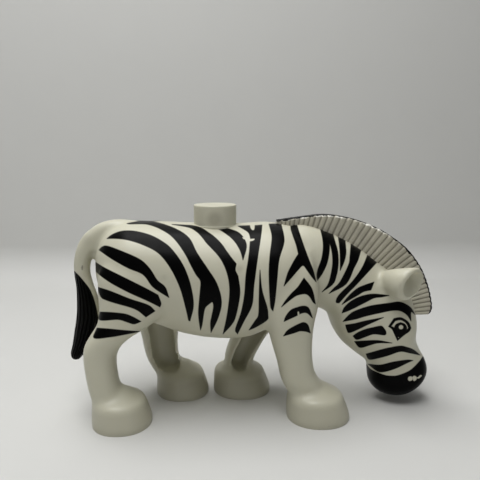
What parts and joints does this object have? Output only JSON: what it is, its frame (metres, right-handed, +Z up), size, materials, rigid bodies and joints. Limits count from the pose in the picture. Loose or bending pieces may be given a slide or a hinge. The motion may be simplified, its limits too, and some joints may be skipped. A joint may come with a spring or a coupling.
{
  "type": "toy zebra figure",
  "caption": "Grazing toy zebra on four broad hooves, with a ribbed mane and a round building-toy button on its back.",
  "frame": {"origin": "on the ground under the middle of the figure, level with the soles of its hooves", "axes": "+Z up, +X from the tail towards the head, +Y towards the figure's left side"},
  "size_m": [0.0828, 0.0308, 0.0461],
  "materials": {
    "white_plastic": "off-white moulded plastic with painted black stripes, satin"
  },
  "bodies": {
    "root": {"zebra_figure": "white_plastic"}
  },
  "joints": []
}
